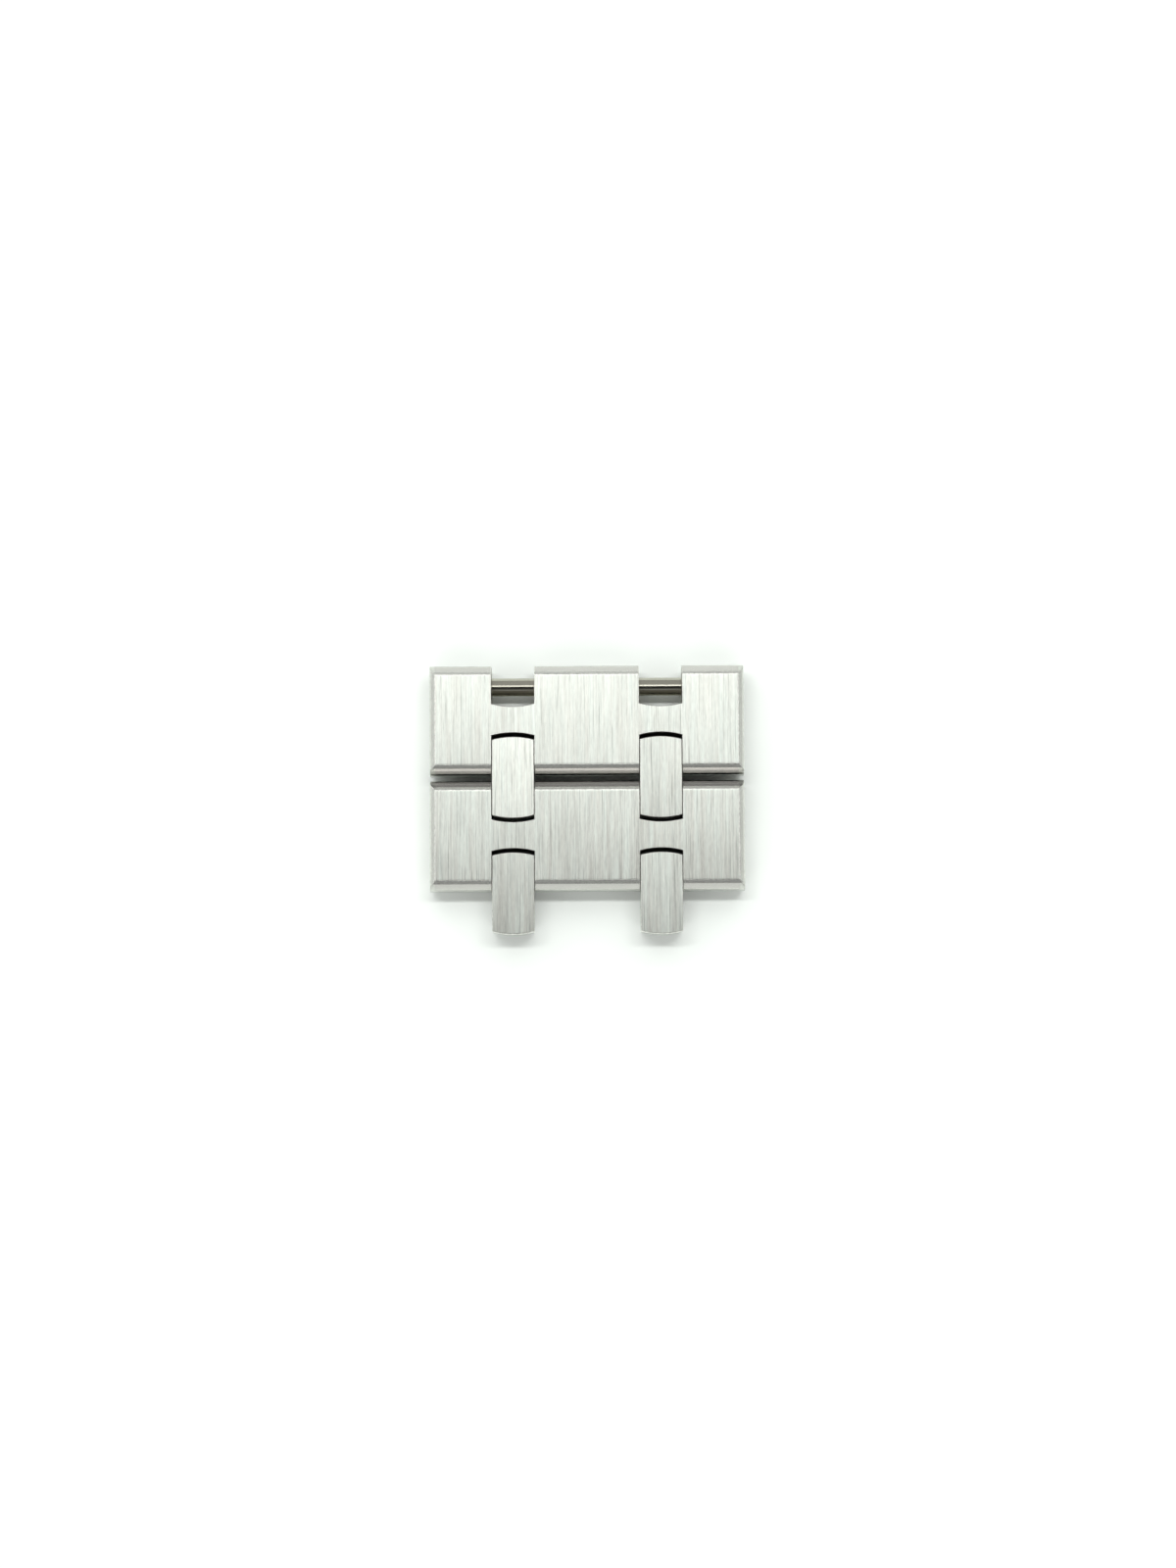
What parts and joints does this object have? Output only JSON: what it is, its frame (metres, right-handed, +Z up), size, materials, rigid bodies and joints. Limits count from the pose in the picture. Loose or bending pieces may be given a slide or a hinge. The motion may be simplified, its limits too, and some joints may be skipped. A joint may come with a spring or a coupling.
{
  "type": "watch bracelet link section",
  "caption": "Section of a steel watch bracelet: wide notched links hinged by short connectors on screwed axles, with free connectors ready for the next link.",
  "frame": {"origin": "middle of the whole width and length, on the flat surface that the section lies on", "axes": "+X across the bracelet to the right, +Y along the bracelet away from the free connectors, +Z up out of the brushed top face"},
  "size_m": [0.019, 0.0164, 0.0029],
  "materials": {
    "wide_link": "brushed along the bracelet on the flat faces, polished chamfers and ends",
    "connector": "brushed along the bracelet, polished end edges",
    "axle": "polished steel",
    "screw": "polished steel"
  },
  "bodies": {
    "front_link": {"wide_link_front": "wide_link", "front_link_front_axle_tube": "axle", "front_link_front_axle_screw_left": "screw", "front_link_front_axle_screw_right": "screw", "front_link_rear_axle_tube": "axle", "front_link_rear_axle_screw_left": "screw", "front_link_rear_axle_screw_right": "screw"},
    "rear_link": {"wide_link_rear": "wide_link", "rear_link_front_axle_tube": "axle", "rear_link_front_axle_screw_left": "screw", "rear_link_front_axle_screw_right": "screw", "rear_link_rear_axle_tube": "axle", "rear_link_rear_axle_screw_left": "screw", "rear_link_rear_axle_screw_right": "screw"},
    "middle_connector_left": {"middle_connector_left": "connector"},
    "middle_connector_right": {"middle_connector_right": "connector"},
    "front_connector_left": {"front_connector_left": "connector"},
    "front_connector_right": {"front_connector_right": "connector"}
  },
  "joints": [
    {"name": "middle_left_fold", "type": "hinge", "parent": "front_link", "child": "middle_connector_left", "pos_m": [0, -0.00008, 0.00145], "axis": [-1, 0, 0], "range_deg": [-8, 25]},
    {"name": "middle_right_fold", "type": "hinge", "parent": "front_link", "child": "middle_connector_right", "pos_m": [0, -0.00008, 0.00145], "axis": [-1, 0, 0], "range_deg": [-8, 25]},
    {"name": "rear_link_fold", "type": "hinge", "parent": "middle_connector_left", "child": "rear_link", "pos_m": [0, 0.0027, 0.00145], "axis": [-1, 0, 0], "range_deg": [-8, 25]},
    {"name": "front_left_fold", "type": "hinge", "parent": "front_link", "child": "front_connector_left", "pos_m": [0, -0.0043, 0.00145], "axis": [1, 0, 0], "range_deg": [-8, 25]},
    {"name": "front_right_fold", "type": "hinge", "parent": "front_link", "child": "front_connector_right", "pos_m": [0, -0.0043, 0.00145], "axis": [1, 0, 0], "range_deg": [-8, 25]}
  ],
  "couplings": [
    {"joint": "middle_right_fold", "follows": "middle_left_fold", "ratio": 1}
  ]
}
